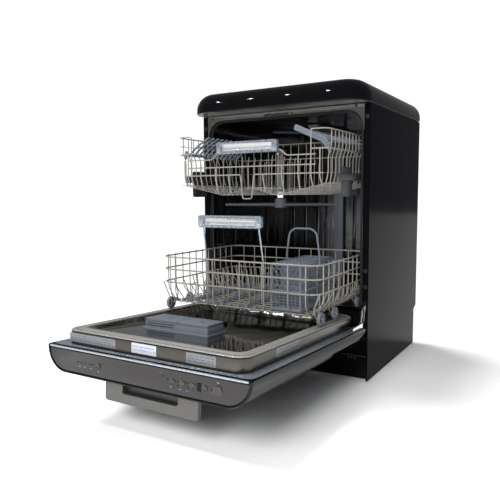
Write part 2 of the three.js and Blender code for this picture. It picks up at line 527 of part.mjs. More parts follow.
// ---- Hinges -------------------------------------------------------------------------------------
for (const [side, label] of SIDES) {
  const cheek = prism('x', [[-20, 150], [-8, 143], [60, 143], [60, 180], [2, 172], [-1, 164.5],
    [-18, 163], [-20, 158]], ...span(side, 276, 279));
  const pin = round('x', [PIVOT.y, PIVOT.z], ...span(side, 276, 289), 4, 12);
  place(machine, `hinge_bracket_${label}`, cheek.add(pin), FINISH.zinc);
  const lever = [[-88, DOOR.flange + 0.4], [-7, DOOR.flange + 0.4], [-7, -7], [8, -7], [12, 10], [24, 78],
    [14, 84], [2, 30], [-20, 26], [-88, 22]];
  const pinHole = round('x', [0, 0], ...span(side, 280, 290), 4.4, 12);
  const arm = prism('x', lever, ...span(side, 283, 286)).subtract(pinHole);
  place(door, `hinge_arm_${label}`, arm, FINISH.chrome);
}

export default group;
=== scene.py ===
import json
import math
import random

import bmesh
import bpy
from mathutils import Matrix, Vector


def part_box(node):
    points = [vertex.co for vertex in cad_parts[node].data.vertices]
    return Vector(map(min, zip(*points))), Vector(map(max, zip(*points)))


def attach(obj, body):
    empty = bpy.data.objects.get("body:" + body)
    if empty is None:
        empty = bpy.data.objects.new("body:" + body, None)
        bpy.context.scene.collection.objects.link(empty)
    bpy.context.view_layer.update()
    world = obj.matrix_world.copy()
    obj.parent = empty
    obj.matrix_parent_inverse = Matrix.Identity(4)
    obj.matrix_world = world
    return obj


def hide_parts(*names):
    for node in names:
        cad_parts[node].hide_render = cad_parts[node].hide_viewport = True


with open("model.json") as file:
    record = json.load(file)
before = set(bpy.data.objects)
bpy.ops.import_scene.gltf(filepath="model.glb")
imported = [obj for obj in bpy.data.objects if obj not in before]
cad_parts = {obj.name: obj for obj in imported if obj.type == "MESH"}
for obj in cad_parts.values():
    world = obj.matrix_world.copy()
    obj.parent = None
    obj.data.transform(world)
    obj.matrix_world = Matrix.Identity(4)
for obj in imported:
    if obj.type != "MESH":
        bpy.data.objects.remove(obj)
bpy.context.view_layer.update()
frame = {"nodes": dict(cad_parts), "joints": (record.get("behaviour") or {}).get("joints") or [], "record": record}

# A free-standing black dishwasher with its door down and both racks drawn out. Shapes are drawn in
# millimetres, in one of two spaces. MACHINE starts under the middle of the cabinet's front plane; y goes
# back and z up. DOOR starts on the hinge pin; y runs from the control face (negative) to the hinge, and z
# to the door's inside.
JOINTS = {joint["name"]: joint for joint in frame["joints"]}
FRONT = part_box("left_side_panel")[0].y
PIVOT = Vector(JOINTS["door_hinge"]["pos_m"])
TILT = math.radians(90 + JOINTS["door_hinge"]["range_deg"][0])
MACHINE = Matrix.Translation((0, FRONT, 0)) @ Matrix.Scale(0.001, 4)
DOOR = Matrix.Translation(PIVOT) @ Matrix.Rotation(-TILT, 4, "X") @ Matrix.Scale(0.001, 4)
WIRE_SIDES = 7
SIDES = ((-1, "left"), (1, "right"))
BUTTON_LEVEL = -20.5
BUTTONS = ((214, 11), (98, 6.5), (125, 6.5), (152, 6.5), (182, 6.5), (-122, 6))
SPRING_LINE = 281.4


def extent(node, space):
    """Lowest and highest corner of a CAD node in one of the two spaces, in millimetres."""
    inverse = space.inverted()
    points = [inverse @ vertex.co for vertex in frame["nodes"][node].data.vertices]
    return (Vector([min(p[i] for p in points) for i in range(3)]),
            Vector([max(p[i] for p in points) for i in range(3)]))


# ---- Shapes ---------------------------------------------------------------------------------------
class Shape:
    """Points, faces and a material number for each face."""

    def __init__(self):
        self.points, self.faces, self.marks = [], [], []

    def add(self, points, faces, mark):
        start = len(self.points)
        self.points += [Vector(point) for point in points]
        self.faces += [tuple(start + i for i in face) for face in faces]
        self.marks += [mark] * len(faces)


AXES = {"x": lambda u, v, w: (w, u, v), "y": lambda u, v, w: (u, w, v), "z": lambda u, v, w: (u, v, w)}


def loft(shape, rings, mark=0, cyclic=False):
    """Skins rings of equal length, and closes the ends, or joins the last ring to the first."""
    size, count = len(rings[0]), len(rings)
    faces = []
    for k in range(count if cyclic else count - 1):
        low, high = k * size, (k + 1) % count * size
        faces += [(low + i, low + (i + 1) % size, high + (i + 1) % size, high + i) for i in range(size)]
    if not cyclic:
        faces += [tuple(range(size))[::-1], tuple(range((count - 1) * size, count * size))]
    shape.add([point for ring in rings for point in ring], faces, mark)


def arc(u, v, radius, start, turn, steps):
    angles = [math.radians(start + turn * i / steps) for i in range(steps + 1)]
    return [(u + radius * math.cos(a), v + radius * math.sin(a)) for a in angles]


def rounded(us, vs, radii, steps=6):
    """A rounded rectangle; radii go round from the low corner."""
    corners = [(us[0], vs[0], 1, 1), (us[1], vs[0], -1, 1), (us[1], vs[1], -1, -1), (us[0], vs[1], 1, -1)]
    starts = (180, 270, 0, 90)
    return [point for (u, v, su, sv), radius, start in zip(corners, radii, starts)
            for point in arc(u + su * radius, v + sv * radius, radius, start, 90, steps)]


def plan(us, vs, radius, inset, steps=6):
    """A rounded rectangle pulled in from its sides, or let out where inset is negative."""
    kept = max(radius - inset, 0.3)
    return rounded((us[0] + inset, us[1] - inset), (vs[0] + inset, vs[1] - inset), [kept] * 4, steps)


def pad(shape, axis, us, vs, ws, radius=2.0, edge=0.6, mark=0, steps=5):
    """A block with rounded corners and softened edges, from ws[0] to ws[1] along the axis."""
    soft = 0.3 * edge
    stations = [(edge, ws[0]), (soft, ws[0] + soft), (0, ws[0] + edge),
                (0, ws[1] - edge), (soft, ws[1] - soft), (edge, ws[1])]
    loft(shape, [[AXES[axis](u, v, w) for u, v in plan(us, vs, radius, inset, steps)]
                 for inset, w in stations], mark)


def surround(shape, axis, outer, inner, ws, radii, edge=0.8, mark=0, steps=6):
    """A rounded frame: outer and inner are (us, vs), and radii their corners."""
    stations = [(outer, radii[0], edge, ws[0]), (outer, radii[0], 0, ws[0] + edge),
                (outer, radii[0], 0, ws[1] - edge), (outer, radii[0], edge, ws[1]),
                (inner, radii[1], -edge, ws[1]), (inner, radii[1], 0, ws[1] - edge),
                (inner, radii[1], 0, ws[0] + edge), (inner, radii[1], -edge, ws[0])]
    loft(shape, [[AXES[axis](u, v, w) for u, v in plan(*sides, radius, inset, steps)]
                 for sides, radius, inset, w in stations], mark, cyclic=True)


def turned(shape, axis, centre, profile, sides=24, mark=0, ring=False):
    """A turned form about the axis: the profile is (radius, height) from end to end, or round a ring."""
    angles = [2 * math.pi * i / sides for i in range(sides)]
    loft(shape, [[AXES[axis](centre[0] + radius * math.cos(a), centre[1] + radius * math.sin(a), w)
                  for a in angles] for radius, w in profile], mark, cyclic=ring)


def softened(path, radius, steps=3, cyclic=False):
    """The path with its corners rounded."""
    points = [Vector(point) for point in path]
    count = len(points)
    made = []
    for i, corner in enumerate(points):
        if not cyclic and i in (0, count - 1):
            made.append(corner)
            continue
        before, after = points[i - 1] - corner, points[(i + 1) % count] - corner
        reach = min(radius, before.length * 0.45, after.length * 0.45)
        start, end = corner + before.normalized() * reach, corner + after.normalized() * reach
        for k in range(steps + 1):
            t = k / steps
            made.append(start * (1 - t) ** 2 + corner * (2 * t * (1 - t)) + end * t ** 2)
    return made


def wire(shape, path, radius, corner=6.0, cyclic=False, mark=0, sides=WIRE_SIDES, squash=1.0):
    """A round wire along the path with softened corners; squash flattens its section."""
    points = softened(path, corner, cyclic=cyclic) if len(path) > 2 else [Vector(p) for p in path]
    count = len(points)
    normal = None
    rings = []
    for i, point in enumerate(points):
        last = points[i - 1] if cyclic or i else point
        following = points[(i + 1) % count] if cyclic or i + 1 < count else point
        tangent = (following - last).normalized()
        if normal is None:
            normal = tangent.orthogonal().normalized()
            if abs(tangent.z) < 0.9:
                normal = (Vector((0, 0, 1)) - tangent * tangent.z).normalized()
        normal = (normal - tangent * normal.dot(tangent)).normalized()
        side = tangent.cross(normal)
        angles = [2 * math.pi * k / sides for k in range(sides)]
        rings.append([point + (normal * math.cos(a) + side * (math.sin(a) * squash)) * radius
                      for a in angles])
    loft(shape, rings, mark, cyclic)


def evenly(start, end, count):
    return [start + (end - start) * i / (count - 1) for i in range(count)]


# ---- Materials ------------------------------------------------------------------------------------
def surface(name, colour, roughness, metallic=0.0, shade=0.12, grain=(40, 40, 40), gloss=0.05,
            relief=0.1, relief_grain=(900, 900, 900), depth=0.0002, specular=0.5, wear=0.0):
    """A procedural finish: colour and gloss drift on a coarse grain, and relief comes from a fine one.
    wear brightens sharp edges."""
    material = bpy.data.materials.new(name)
    material.use_nodes = True
    tree = material.node_tree
    shader = tree.nodes["Principled BSDF"]
    shader.inputs["Metallic"].default_value = metallic
    shader.inputs["Specular IOR Level"].default_value = specular
    place = tree.nodes.new("ShaderNodeTexCoord")

    def noise(scale, detail):
        mapping = tree.nodes.new("ShaderNodeMapping")
        mapping.inputs["Scale"].default_value = scale
        texture = tree.nodes.new("ShaderNodeTexNoise")
        texture.inputs["Scale"].default_value = 1.0
        texture.inputs["Detail"].default_value = detail
        tree.links.new(place.outputs["Object"], mapping.inputs["Vector"])
        tree.links.new(mapping.outputs["Vector"], texture.inputs["Vector"])
        return texture.outputs["Fac"]

    def ramp(value, low, high, start=0.3, end=0.7):
        node = tree.nodes.new("ShaderNodeMapRange")
        node.inputs["From Min"].default_value = start
        node.inputs["From Max"].default_value = end
        node.inputs["To Min"].default_value = low
        node.inputs["To Max"].default_value = high
        tree.links.new(value, node.inputs["Value"])
        return node.outputs["Result"]

    coarse = noise(grain, 4.0)
    fine = noise(relief_grain, 2.0)
    tint = tree.nodes.new("ShaderNodeMix")
    tint.data_type = "RGBA"
    tint.inputs["A"].default_value = (*[c * (1 - shade) for c in colour], 1)
    tint.inputs["B"].default_value = (*[min(c * (1 + shade), 1) for c in colour], 1)
    tree.links.new(coarse, tint.inputs["Factor"])
    base = tint.outputs["Result"]
    if wear:
        geometry = tree.nodes.new("ShaderNodeNewGeometry")
        edges = ramp(geometry.outputs["Pointiness"], 0.0, wear, 0.52, 0.62)
        rub = tree.nodes.new("ShaderNodeMix")
        rub.data_type = "RGBA"
        rub.inputs["B"].default_value = (*[min(c * 1.6 + 0.05, 1) for c in colour], 1)
        tree.links.new(edges, rub.inputs["Factor"])
        tree.links.new(base, rub.inputs["A"])
        base = rub.outputs["Result"]
    tree.links.new(base, shader.inputs["Base Color"])
    tree.links.new(ramp(fine, max(roughness - gloss, 0.02), roughness + gloss), shader.inputs["Roughness"])
    bump = tree.nodes.new("ShaderNodeBump")
    bump.inputs["Strength"].default_value = relief
    bump.inputs["Distance"].default_value = depth
    tree.links.new(fine, bump.inputs["Height"])
    tree.links.new(bump.outputs["Normal"], shader.inputs["Normal"])
    return material


def finishes():
    """Every material slot of the record, and a few extra finishes."""
    brushed = dict(metallic=1.0, relief_grain=(60, 1500, 1500), grain=(6, 40, 40))
    mould = dict(relief=0.25, relief_grain=(1400, 1400, 1400), wear=0.3)
    return {
        "gloss_black": surface("gloss_black", (0.0022, 0.0022, 0.0028), 0.035, gloss=0.012, specular=0.17,
                               relief=0.015, relief_grain=(120, 120, 120), depth=0.0003),
        "black_sheet": surface("black_sheet", (0.0025, 0.0026, 0.0034), 0.12, gloss=0.02, specular=0.015,
                               relief=0.03, relief_grain=(60, 60, 40), depth=0.0005),
        "stainless": surface("stainless", (0.40, 0.385, 0.355), 0.09, gloss=0.03, shade=0.07, relief=0.015,
                             **brushed),
        # Painted shade: the tub steel is given a near-black colour, far darker than bare steel, standing in for
        # the gloom inside the tub.
        "tub_steel": surface("tub_steel", (0.10, 0.10, 0.105), 0.15, metallic=1.0, gloss=0.09, shade=0.5,
                             grain=(46, 46, 5), relief=0.5, relief_grain=(70, 70, 6), depth=0.0012),
        "fascia": surface("fascia", (0.031, 0.029, 0.028), 0.4, metallic=0.5, gloss=0.04, relief=0.2,
                          shade=0.12, relief_grain=(80, 1800, 1800), grain=(5, 30, 60)),
        "silver": surface("silver", (0.30, 0.335, 0.37), 0.27, metallic=0.7, gloss=0.04, relief=0.03,
                          grain=(20, 20, 60), relief_grain=(120, 120, 120)),
        "handle_grey": surface("handle_grey", (0.10, 0.096, 0.09), 0.36, metallic=0.65, gloss=0.05,
                               relief=0.2, relief_grain=(90, 1800, 1800)),
        "chrome": surface("chrome", (0.75, 0.76, 0.77), 0.12, metallic=1.0, gloss=0.05, relief=0.1,
                          relief_grain=(300, 300, 300)),
        "zinc_steel": surface("zinc_steel", (0.33, 0.34, 0.35), 0.42, metallic=0.9, shade=0.35,
                              grain=(70, 70, 70), gloss=0.1, relief=0.2),
        "coated_wire": surface("coated_wire", (0.21, 0.198, 0.175), 0.28, gloss=0.07, shade=0.14,
                               relief=0.3, relief_grain=(700, 700, 700)),
        "grey_plastic": surface("grey_plastic", (0.088, 0.101, 0.120), 0.4, gloss=0.07, **mould),
        "pale_plastic": surface("pale_plastic", (0.06, 0.068, 0.078), 0.35, gloss=0.06, **mould),
        "dark_plastic": surface("dark_plastic", (0.014, 0.014, 0.015), 0.45, gloss=0.08, **mould),
        "rubber": surface("rubber", (0.011, 0.011, 0.011), 0.75, gloss=0.1, relief=0.5, specular=0.3),
        "ballast": surface("ballast", (0.09, 0.093, 0.096), 0.75, shade=0.4, relief=0.9, depth=0.0008,
                           relief_grain=(260, 260, 260)),
        "slate_plastic": surface("slate_plastic", (0.016, 0.018, 0.023), 0.42, gloss=0.07, **mould),
        # Painted shade: the next finish is a darkened copy of the stainless for the liner's sides and front edge.
        # It stands in for the dark surroundings they reflect.
        "liner_side_painted_shade": surface("liner_side_painted_shade", (0.085, 0.079, 0.071), 0.24, gloss=0.05, shade=0.1, relief=0.05,
                              **brushed),
        # Painted reflection: the next finish is a paler, half-metal copy of the stainless for the liner's top
        # border. It stands in for a bright ceiling reflected there.
        "liner_top_painted_reflection": surface("liner_top_painted_reflection", (0.30, 0.29, 0.27), 0.25, gloss=0.03, shade=0.05, relief=0.01,
                             metallic=0.45, relief_grain=(20, 160, 160), grain=(6, 20, 20)),
        "button_face": surface("button_face", (0.05, 0.048, 0.046), 0.3, metallic=0.6, gloss=0.05),
        "glass": surface("glass", (0.003, 0.0035, 0.005), 0.08, gloss=0.02, relief=0.02, specular=0.1),
        "bright_inset": surface("bright_inset", (0.42, 0.43, 0.44), 0.3, metallic=0.5, gloss=0.05,
                                relief=0.03, relief_grain=(40, 120, 120), shade=0.16, grain=(14, 40, 40)),
        "plate": surface("plate", (0.17, 0.18, 0.19), 0.35, metallic=0.3, gloss=0.05, shade=0.08),
        "white_plate": surface("white_plate", (0.38, 0.40, 0.43), 0.35, gloss=0.05, shade=0.05),
        "ink": surface("ink", (0.03, 0.035, 0.05), 0.4, gloss=0.05),
        "blue_ink": surface("blue_ink", (0.03, 0.06, 0.28), 0.4, gloss=0.05),
        "lid_under": surface("lid_under", (0.035, 0.034, 0.033), 0.38, gloss=0.06, relief=0.2,
                             relief_grain=(80, 500, 500)),
    }


FINISH = finishes()


# ---- Pieces ---------------------------------------------------------------------------------------
def make(name, shape, body, slot, materials=None, space=MACHINE, replaces=(), crease=35):
    """Turns a shape into an object that rides on a CAD body."""
    mesh = bpy.data.meshes.new(name)
    mesh.from_pydata([space @ point for point in shape.points], [], shape.faces)
    for material in materials or [slot]:
        mesh.materials.append(FINISH[material])
    mesh.polygons.foreach_set("material_index", shape.marks)
    work = bmesh.new()
    work.from_mesh(mesh)
    bmesh.ops.recalc_face_normals(work, faces=work.faces)
    work.to_mesh(mesh)
    work.free()
    mesh.polygons.foreach_set("use_smooth", [True] * len(mesh.polygons))
    mesh.set_sharp_from_angle(angle=math.radians(crease))
    piece = bpy.data.objects.new(name, mesh)
    bpy.context.scene.collection.objects.link(piece)
    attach(piece, body)
    if replaces:
        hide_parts(*replaces)
    return piece


def dress_cad_nodes():
    """Gives every CAD node its slot's finish and small rounded edges."""
    slots = {part["node"]: part["material_slot"] for part in frame["record"]["subparts"]}
    for name, node in frame["nodes"].items():
        node.data.materials.clear()
        node.data.materials.append(FINISH[slots[name]])
        node.data.polygons.foreach_set("use_smooth", [True] * len(node.data.polygons))
        weld = node.modifiers.new("weld", "WELD")
        weld.merge_threshold = 0.00001
        bevel = node.modifiers.new("edges", "BEVEL")
        bevel.width = 0.0004
        bevel.segments = 2
        bevel.angle_limit = math.radians(40)
        bevel.use_clamp_overlap = True
        node.modifiers.new("shading", "WEIGHTED_NORMAL")


# ---- Casing ---------------------------------------------------------------------------------------
def lid():
    low, high = extent("top_lid", MACHINE)
    half, skirt, lip = high.x, 12, 3.6
    radius = high.z - low.z - skirt

    def outline(inset):
        front, back = max(80 - inset, 20), max(34 - inset / 2, 8)
        return rounded((-half + inset, half - inset), (low.y + inset, high.y - inset * 0.6),
                       [front, front, back, back], 14)

    stations = [(lip, low.z + 4), (lip, low.z + 0.8), (lip - 0.8, low.z), (1.2, low.z), (0.3, low.z + 0.4),
                (0, low.z + 1.4), (0, low.z + skirt)]
    for step in evenly(6, 90, 15):
        angle = math.radians(step)
        stations.append((radius * (1 - math.cos(angle)), low.z + skirt + radius * math.sin(angle)))
    stations += [(radius + 9, high.z), (radius + 40, high.z)]
    shape = Shape()
    loft(shape, [[(x, y, z) for x, y in outline(inset)] for inset, z in stations])
    make("lid_shell", shape, "cabinet", "gloss_black", replaces=["top_lid"])
    frame["nodes"]["lid_base"].data.materials[0] = FINISH["lid_under"]


def screws(name, places, axis, height, radius, slot):
    """Round-headed screws: places are (u, v, w of the surface, direction)."""
    shape = Shape()
    for u, v, w, out in places:
        profile = [(radius, w - out * 0.4), (radius, w + out * 0.2), (radius * 0.86, w + out * height * 0.7),
                   (radius * 0.55, w + out * height), (0.3, w + out * height)]
        turned(shape, axis, (u, v), profile, 18)
    make(name, shape, "cabinet", slot)


def casing():
    lid()
    screws("crossbar_screws", [(-256, 817, 0, -1), (249, 820, 0, -1)], "y", 1.5, 4.5, "dark_plastic")
    screws("front_strip_buffers", [(284.5, 788, 0, -1), (284.5, 337, 0, -1), (284.5, 289, 0, -1),
                                   (-284.5, 788, 0, -1)], "y", 0.8, 6.5, "rubber")
    dots = Shape()
    for x in (228, 238, 249):
        pad(dots, "y", (x - 2, x + 2), (62.5, 65.5), (18.2, 19.4), 1, 0.3)
    make("kick_plate_vents", dots, "cabinet", "silver", ["plate"])
    seam = Shape()
    pad(seam, "y", (-287, 287), (70.5, 72.5), (18.4, 19.2), 0.6, 0.2)
    make("kick_plate_seam", seam, "cabinet", "dark_plastic")
    latch = Shape()
    pad(latch, "y", (-30, 30), (812, 819), (-0.8, -0.1), 2, 0.3)
    pad(latch, "y", (-56, -40), (812, 819), (-0.8, -0.1), 2, 0.3)
    pad(latch, "y", (40, 46), (813, 819), (-0.8, -0.1), 1, 0.3)
    make("lock_striker", latch, "cabinet", "dark_plastic")
    back_screws = [(x, z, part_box("back_panel")[1].y * 1000 - FRONT * 1000 + 1.5, 1)
                   for x in (-270, 0, 270) for z in (180, 800)]
    screws("back_screws", back_screws, "y", 2, 4, "zinc_steel")


def tub_details():
    """Pressed beads on the back wall and side walls, and the rear wall's upright ribs."""
    high = extent("tub", MACHINE)[1]
    wall = 1.5
    beads = Shape()
    for x in (-205, -150, -95, 60, 110, 160, 210):
        pad(beads, "y", (x - 7, x + 7), (300, 560), (high.y - wall - 2.6, high.y - wall + 0.4), 7, 1.6)
    for side in (-1, 1):
        inner = side * (high.x - wall)
        for y in (90, 170, 330, 410):
            span = sorted((inner - side * 2.4, inner + side * 0.4))
            pad(beads, "x", (y - 8, y + 8), (280, 560), span, 7, 1.2)
            pad(beads, "x", (y - 8, y + 8), (650, 770), span, 7, 1.2)
    make("tub_beads", beads, "cabinet", "tub_steel")


# ---- Door -----------------------------------------------------------------------------------------
def door_shell():
    low, high = extent("outer_door_skin", DOOR)
    half, outer, flange, start, end = high.x, low.z, high.z, high.y, low.y
    sheet, corner, toe, lap = 2.5, 62, 48, 36

    def section(y):
        rise = y - (start - toe)
        level = outer + (toe - math.sqrt(max(toe ** 2 - rise ** 2, 0)) if rise > 0 else 0)
        radius = min(corner, flange - level - 4)
        outside = arc(-half + radius, level + radius, radius, 180, 90, 12) + arc(
            half - radius, level + radius, radius, 270, 90, 12)
        inside = arc(half - radius, level + radius, radius - sheet, 360, -90, 12) + arc(
            -half + radius, level + radius, radius - sheet, 270, -90, 12)
        points = [(-half + lap, flange), (-half + 1, flange), (-half, flange - 1)] + outside
        points += [(half, flange - 1), (half - 1, flange), (half - lap, flange)]
        points += [(half - lap, flange - sheet), (half - sheet, flange - sheet)] + inside
        points += [(-half + sheet, flange - sheet), (-half + lap, flange - sheet)]
        return [(x, y, z) for x, z in points]

    bend = [start - toe + toe * math.sin(math.radians(a)) for a in evenly(0, 90, 11)]
    shape = Shape()
    loft(shape, [section(y) for y in [end, end + 220, end + 420] + bend])
    pad(shape, "y", (-half + 2, half - 2), (-4, flange - 0.5), (start - 2.4, start), 3, 0.8)
    make("door_shell", shape, "door", "gloss_black", space=DOOR, replaces=["outer_door_skin"])


def fascia():
    face = extent("control_panel", DOOR)[0].y
    shell, skin = extent("outer_door_skin", DOOR)
    base = shell.z

    def outline(inset):
        return rounded((-skin.x + inset, skin.x - inset), (base + inset, skin.z - inset),
                       [62 - inset, 62 - inset, 1.5, 1.5], 14)

    plate = Shape()
    stations = [(6.2, face + 12), (6.2, face + 1.2), (6.5, face + 0.4), (7.2, face)]
    loft(plate, [[(x, y, z) for x, z in outline(inset)] for inset, y in stations])
    make("fascia_plate", plate, "door", "fascia", space=DOOR, replaces=["control_panel"])
    rim = Shape()
    stations = [(0.2, face + 3.4), (0.2, face + 0.6), (1.0, face - 0.7), (2.6, face - 1.2), (4.6, face - 1.0),
                (5.8, face), (6.1, face + 3.4)]
    loft(rim, [[(x, y, z) for x, z in outline(inset)] for inset, y in stations], cyclic=True)
    make("fascia_rim", rim, "door", "gloss_black", space=DOOR)
    strip = Shape()
    pad(strip, "y", (-skin.x + 8, skin.x - 8), (skin.z - 5.5, skin.z - 0.6), (face - 1.4, face + 2), 1.5, 0.7)
    make("fascia_strip", strip, "door", "silver", space=DOOR)


def door_controls():
    for name in ("power_button", "button_program", "button_option", "button_delay", "button_start",
                 "button_half_load"):
        low, high = extent(name, DOOR)
        centre = ((low.x + high.x) / 2, (low.z + high.z) / 2)
        radius, top = (high.x - low.x) / 2 - 2, low.y
        cap = Shape()
        turned(cap, "y", centre, [(radius, top + 5), (radius, top + 1.0), (radius * 0.94, top + 0.3),
                                  (radius * 0.82, top), (radius * 0.7, top + 0.2), (radius * 0.3, top + 0.6),
                                  (0.3, top + 0.7)], 32)
        make(name + "_cap", cap, name, "silver", ["button_face"], DOOR, [name])
    face = extent("control_panel", DOOR)[0].y
    level = BUTTON_LEVEL
    rings, lamps, marks, blue = Shape(), Shape(), Shape(), Shape()
    for x, radius in BUTTONS:
        profile = [(radius + 0.7, face + 0.3), (radius + 0.7, face - 0.5), (radius + 1.6, face - 0.7),
                   (radius + 2.0, face + 0.3)]
        turned(rings, "y", (x, level), profile, 32, ring=True)
    for x, rise in ((72, 9), (84, 3), (111, 2), (111, -6), (138, 4), (138, -6), (199, 0),
                    (-190, 0), (-178, 0), (-166, 0), (-150, 0), (-141, 0)):
        turned(lamps, "y", (x, level + rise), [(1.7, face + 0.2), (1.7, face - 0.3), (1.0, face - 0.8),
                                               (0.2, face - 0.9)], 14)
    for x, width, rise in ((66, 2.5, 16), (92, 3, -12), (118, 3, -13), (199, 2.4, -7), (-184, 4, -9),
                           (-166, 4, -9), (-146, 4, -9), (-122, 3, -13), (214, 3, 17)):
        pad(marks, "y", (x - width, x + width), (level + rise - 0.6, level + rise + 0.6),
            (face - 0.25, face + 0.2), 0.5, 0.1)
    pad(blue, "y", (131, 141), (level - 14.4, level - 12.2), (face - 0.3, face + 0.2), 0.8, 0.1)
    make("button_rings", rings, "door", "dark_plastic", ["handle_grey"], DOOR)
    make("indicator_lamps", lamps, "door", "dark_plastic", ["glass"], DOOR)
    make("control_marks", marks, "door", "silver", space=DOOR)
    make("programme_mark", blue, "door", "dark_plastic", ["blue_ink"], DOOR)
    display = Shape()
    pad(display, "y", (161.5, 172.5), (level - 9, level + 9), (face - 0.6, face + 1), 1.2, 0.3)
    make("display_window", display, "door", "dark_plastic", ["glass"], DOOR)


def door_handle():
    low, high = extent("door_handle", DOOR)
    slot_half, slot_low = 82, -87
    grip = Shape()
    surround(grip, "y", ((low.x, high.x), (low.z, high.z)), ((-slot_half, slot_half), (slot_low, high.z - 4)),
             (low.y, high.y), (8, 6), 1.4, steps=8)
    make("door_grip", grip, "door", "handle_grey", space=DOOR, replaces=["door_handle"])
    pocket = Shape()
    pad(pocket, "y", (-slot_half - 1, slot_half + 1), (slot_low - 1, high.z - 4),
        (high.y - 4, high.y - 1), 4, 0.5)
    make("door_grip_pocket", pocket, "door", "dark_plastic", space=DOOR)


def inner_panel():
    low, high = extent("inner_door_panel", DOOR)
    foot, top = low.z, high.z
    border = ((low.x, high.x), (low.y, high.y))
    basin = ((low.x + 34, high.x - 34), (low.y + 42, high.y - 36))

    def floor(y):
        share = min(max((y + 400) / 300, 0), 1)
        return top - 10 - 17 * share * share * (3 - 2 * share)

    def between(share, inset=0.0):
        us, vs = [tuple(a + (b - a) * share for a, b in zip(border[i], basin[i])) for i in (0, 1)]
        return plan(us, vs, 36 - 14 * share, inset, 10)

    shape = Shape()
    rings = [[(x, y, foot) for x, y in between(0)], [(x, y, foot + 1.4) for x, y in between(0)]]
    for angle in evenly(0, 90, 7):
        inset, rise = 6 * (1 - math.cos(math.radians(angle))), 6 * math.sin(math.radians(angle))
        rings.append([(x, y, top - 6 + rise) for x, y in between(0, inset)])
    for share, drop in ((0.30, 0), (0.34, 1.3), (0.42, 1.6), (0.50, 1.3), (0.54, 0.1), (0.84, 0)):
        rings.append([(x, y, top - drop) for x, y in between(share)])
    for share, blend in ((0.92, 0.03), (1.0, 0.12), (1.16, 0.5), (1.32, 0.86), (1.42, 0.97), (1.55, 1.0)):
        rings.append([(x, y, top + (floor(y) - top) * blend) for x, y in between(share)])
    for inset in (30, 80, 130, 180):
        rings.append([(x, y, floor(y)) for x, y in plan(*basin, 30, inset, 10)])
    loft(shape, rings)
    strip = len(rings[0])
    side, border_strips = 4 * strip, 10 * strip
    # The liner's side strips take the darkened copy of the stainless: painted shade for the dark surroundings they
    # reflect.
    shape.marks[:side] = [1] * side
    # The border strips take the paler copy of the stainless: a painted reflection of a bright ceiling.
    shape.marks[side:side + border_strips] = [2] * border_strips
    make("door_liner", shape, "door", "stainless", ["stainless", "liner_side_painted_shade", "liner_top_painted_reflection"], DOOR,
         ["inner_door_panel"], crease=50)
    flange = Shape()
    surround(flange, "z", ((low.x - 26, high.x + 26), (low.y - 16, high.y + 1)),
             ((low.x + 1, high.x - 1), (low.y + 1, high.y - 1)), (foot - 0.2, foot + 0.6), (20, 36), 0.3)
    surround(flange, "z", ((low.x - 15, high.x + 15), (low.y - 10, high.y + 0.5)),
             ((low.x - 9, high.x + 9), (low.y - 5, high.y - 1)), (foot + 0.4, foot + 1.5), (34, 34), 0.5)
    make("door_liner_flange", flange, "door", "stainless", ["silver"], DOOR)


def dispenser():
    low, high = extent("dispenser_body", DOOR)
    body = Shape()
    pad(body, "z", (low.x, high.x), (low.y, high.y), (high.z - 24, high.z), 5, 0.9)
    pad(body, "z", (low.x - 5, high.x + 5), (low.y - 5, high.y + 5), (high.z - 21, high.z - 17), 8, 1.2)
    make("dispenser_case", body, "door", "grey_plastic", space=DOOR, replaces=["dispenser_body"])
    for name, tag in (("detergent_lid", "detergent"), ("rinse_aid_lid", "rinse_aid")):
        lo, hi = extent(name, DOOR)
        cover = Shape()
        pad(cover, "z", (lo.x, hi.x), (lo.y, hi.y), (lo.z, hi.z), 3.5, 1.4)
        make(tag + "_cover", cover, name, "grey_plastic", space=DOOR, replaces=[name])
        middle = (lo.x + hi.x) / 2 + 6
        dent = Shape()
        loft(dent, [[(middle + reach * dx, lo.y + 34 + reach * dy, z) for dx, dy in
                     ((-9, -3), (-4, -5), (4, -5), (9, -3), (2.5, 4), (-2.5, 4))]
                    for reach, z in ((1.0, hi.z - 0.6), (1.0, hi.z + 0.15), (0.9, hi.z + 0.35))])
        make(tag + "_thumb_dent", dent, name, "dark_plastic", space=DOOR)
        ridge = Shape()
        for y in (lo.y + 9, lo.y + 62):
            pad(ridge, "z", (lo.x + 9, hi.x - 9), (y, y + 2), (hi.z - 0.5, hi.z + 0.9), 1, 0.4)
        make(tag + "_ridges", ridge, name, "grey_plastic", space=DOOR)
    slots = Shape()
    for z in (high.z - 5, high.z - 11):
        pad(slots, "y", (low.x + 8, low.x + 96), (z, z + 2.2), (low.y - 0.6, low.y + 1), 1, 0.3)
    make("dispenser_slots", slots, "door", "dark_plastic", space=DOOR)


def dashes(sheet, rows, axis, span, lengths, levels, depth):
    """One broken ruled line on a plate, in place of its lettering."""
    at = span[0]
    while at < span[1]:
        length = rows.uniform(*lengths)
        pad(sheet, axis, (at, at + length), levels, depth, 0.5, 0.05, mark=1, steps=2)
        at += length + rows.uniform(2, 5)


